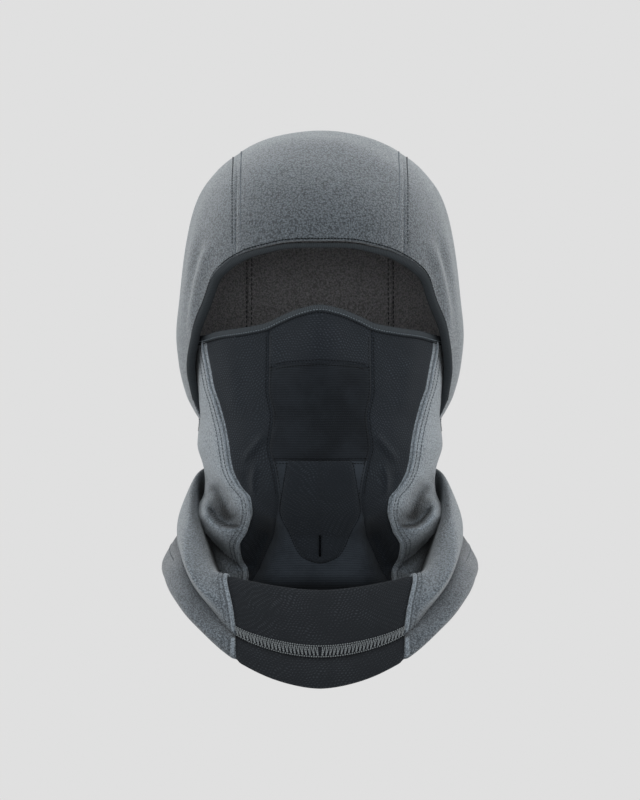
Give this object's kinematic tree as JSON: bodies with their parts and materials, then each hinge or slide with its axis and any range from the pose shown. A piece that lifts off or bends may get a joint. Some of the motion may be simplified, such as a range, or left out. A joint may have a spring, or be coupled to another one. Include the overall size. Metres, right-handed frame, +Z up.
{
  "type": "hinged balaclava",
  "caption": "Fleece hood over a neck gaiter with a knit face mask; the mask pulls down under the chin and the hood tips back off the head.",
  "frame": {"origin": "middle of the neck opening, level with the lowest point of the front hem", "axes": "+X to the wearer's left, +Y to the back of the head, +Z up"},
  "size_m": [0.193, 0.2153, 0.3414],
  "materials": {
    "fleece": "brushed fleece",
    "lining": "brushed fleece",
    "binding": "ribbed tape",
    "mesh_knit": "dotted mesh knit",
    "smooth_knit": "smooth knit",
    "hem_fleece": "brushed fleece",
    "thread": "matt thread"
  },
  "bodies": {
    "neck": {"chin_panel": "mesh_knit", "throat_panel": "smooth_knit", "jaw_panel_left": "mesh_knit", "jaw_panel_right": "mesh_knit", "jaw_side_left": "fleece", "jaw_side_right": "fleece", "nape_panel": "fleece", "hinge_tack_left": "thread", "hinge_tack_right": "thread", "nape_roll": "thread", "fold_front": "smooth_knit", "fold_left": "fleece", "fold_right": "fleece", "bib_panel": "smooth_knit", "collar_left": "fleece", "collar_right": "fleece", "hem_front": "smooth_knit", "hem_left": "hem_fleece", "hem_right": "hem_fleece", "hem_stitch": "thread"},
    "mask": {"nose_panel": "mesh_knit", "mouth_panel": "smooth_knit", "cheek_panel_left": "mesh_knit", "cheek_panel_right": "mesh_knit", "mask_side_left": "fleece", "mask_side_right": "fleece", "mask_binding": "binding"},
    "hood": {"crown_panel": "fleece", "hood_side_left": "fleece", "hood_side_right": "fleece", "crown_lining": "lining", "side_lining_left": "lining", "side_lining_right": "lining", "brow_binding": "binding"}
  },
  "joints": [
    {"name": "mask_pull_down", "type": "hinge", "parent": "neck", "child": "mask", "pos_m": [0, 0.006, 0.16], "axis": [1, 0, 0], "range_deg": [0, 50]},
    {"name": "hood_fold_back", "type": "hinge", "parent": "neck", "child": "hood", "pos_m": [0, 0.0818, 0.166], "axis": [-1, 0, 0], "range_deg": [0, 100]}
  ]
}
